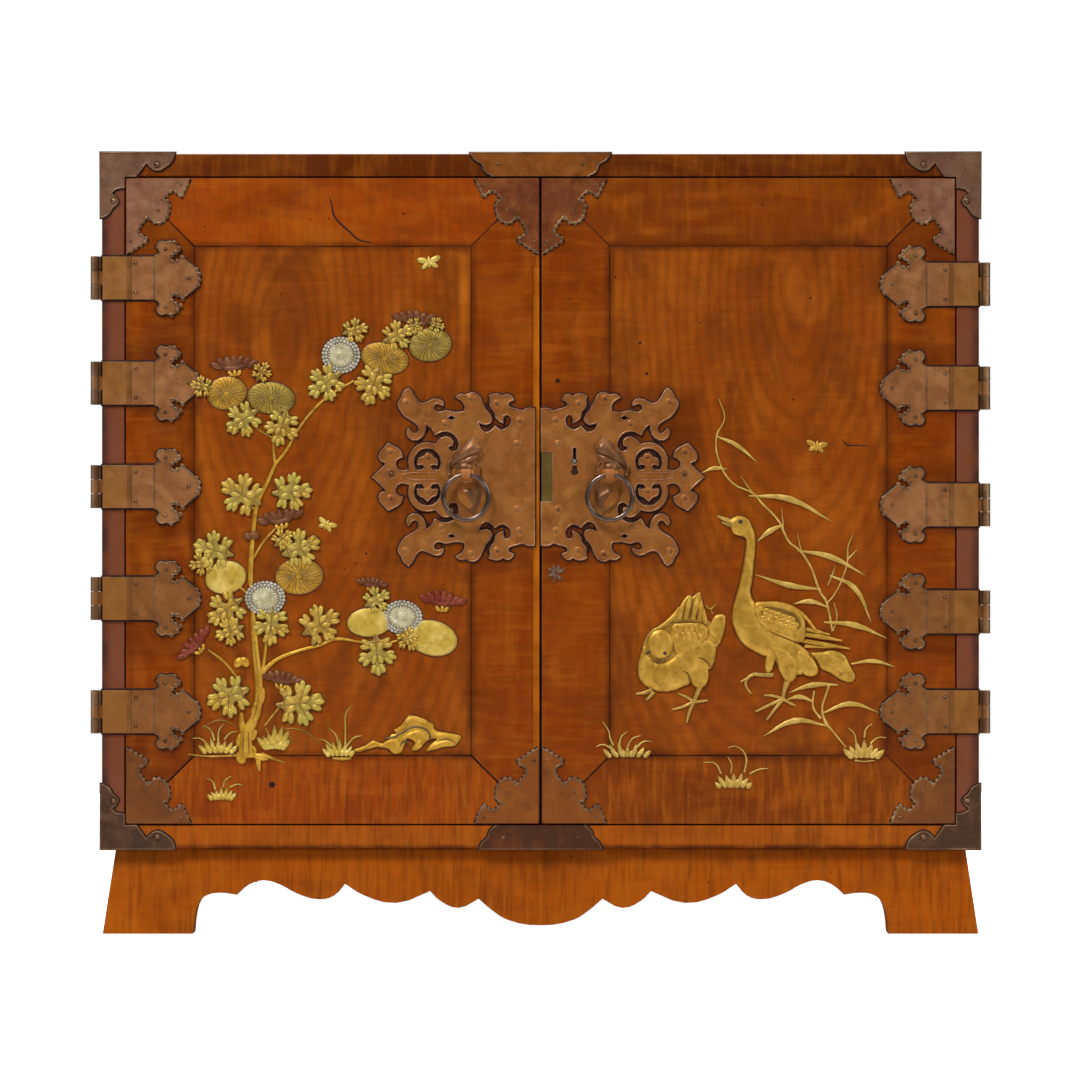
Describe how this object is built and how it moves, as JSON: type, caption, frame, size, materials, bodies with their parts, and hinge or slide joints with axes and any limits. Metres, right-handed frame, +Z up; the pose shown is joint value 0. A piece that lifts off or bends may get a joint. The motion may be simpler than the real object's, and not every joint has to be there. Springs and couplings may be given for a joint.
{
  "type": "lacquer cabinet",
  "caption": "Lacquered cabinet with hinged doors on a splayed bracket base: mitred door frames, strap hinges, pierced lock plates, drop rings and fretted corner mounts.",
  "frame": {"origin": "on the floor, under the middle of the whole object with its doors shut", "axes": "+X to the right as seen from the front, +Y to the back, +Z up; the doors face -Y"},
  "size_m": [0.9226, 0.5386, 0.8021],
  "materials": {
    "case_wood": "reddish brown transparent lacquer over figured wood",
    "door_wood": "orange brown transparent lacquer over figured wood, with raised gold decoration",
    "base_wood": "orange brown stained and varnished wood",
    "inner_wood": "dark brown lacquer, satin",
    "copper": "engraved copper sheet with a dark brown patina and rubbed edges",
    "ring_copper": "cast copper, rubbed bright by handling",
    "lock_brass": "tarnished brass"
  },
  "bodies": {
    "carcass": {"case_top": "case_wood", "case_bottom": "case_wood", "case_left_side": "case_wood", "case_right_side": "case_wood", "case_back": "inner_wood", "shelf": "inner_wood", "base_front_apron": "base_wood", "base_sides_and_back": "base_wood", "left_hinge_1_leaf": "copper", "left_hinge_2_leaf": "copper", "left_hinge_3_leaf": "copper", "left_hinge_4_leaf": "copper", "left_hinge_5_leaf": "copper", "right_hinge_1_leaf": "copper", "right_hinge_2_leaf": "copper", "right_hinge_3_leaf": "copper", "right_hinge_4_leaf": "copper", "right_hinge_5_leaf": "copper", "case_top_left_corner": "copper", "case_top_right_corner": "copper", "case_bottom_left_corner": "copper", "case_bottom_right_corner": "copper", "case_top_centre_mount": "copper", "case_bottom_centre_mount": "copper"},
    "left_door": {"left_door_top_rail": "door_wood", "left_door_bottom_rail": "door_wood", "left_door_hinge_stile": "door_wood", "left_door_meeting_stile": "door_wood", "left_door_panel": "door_wood", "left_hinge_1_strap": "copper", "left_hinge_2_strap": "copper", "left_hinge_3_strap": "copper", "left_hinge_4_strap": "copper", "left_hinge_5_strap": "copper", "left_door_top_hinge_corner": "copper", "left_door_top_meeting_corner": "copper", "left_door_bottom_hinge_corner": "copper", "left_door_bottom_meeting_corner": "copper", "left_lock_plate": "copper", "left_ring_boss": "copper"},
    "right_door": {"right_door_top_rail": "door_wood", "right_door_bottom_rail": "door_wood", "right_door_hinge_stile": "door_wood", "right_door_meeting_stile": "door_wood", "right_door_panel": "door_wood", "right_hinge_1_strap": "copper", "right_hinge_2_strap": "copper", "right_hinge_3_strap": "copper", "right_hinge_4_strap": "copper", "right_hinge_5_strap": "copper", "right_door_top_hinge_corner": "copper", "right_door_top_meeting_corner": "copper", "right_door_bottom_hinge_corner": "copper", "right_door_bottom_meeting_corner": "copper", "right_lock_plate": "copper", "right_ring_boss": "copper", "lock_case": "lock_brass"},
    "left_ring": {"left_ring": "ring_copper"},
    "right_ring": {"right_ring": "ring_copper"},
    "lock_bolt": {"lock_bolt": "lock_brass"}
  },
  "joints": [
    {"name": "left_door_hinge", "type": "hinge", "parent": "carcass", "child": "left_door", "pos_m": [-0.4558, -0.25195, 0.4443], "axis": [0, 0, -1], "range_deg": [0, 180]},
    {"name": "right_door_hinge", "type": "hinge", "parent": "carcass", "child": "right_door", "pos_m": [0.4558, -0.25195, 0.4443], "axis": [0, 0, 1], "range_deg": [0, 180]},
    {"name": "left_ring_swing", "type": "hinge", "parent": "left_door", "child": "left_ring", "pos_m": [-0.076, -0.26285, 0.4708], "axis": [-1, 0, 0], "range_deg": [0, 110]},
    {"name": "right_ring_swing", "type": "hinge", "parent": "right_door", "child": "right_ring", "pos_m": [0.071, -0.26285, 0.4708], "axis": [-1, 0, 0], "range_deg": [0, 110]},
    {"name": "lock_bolt_slide", "type": "slide", "parent": "right_door", "child": "lock_bolt", "axis": [-1, 0, 0], "range_m": [0, 0.008]}
  ]
}
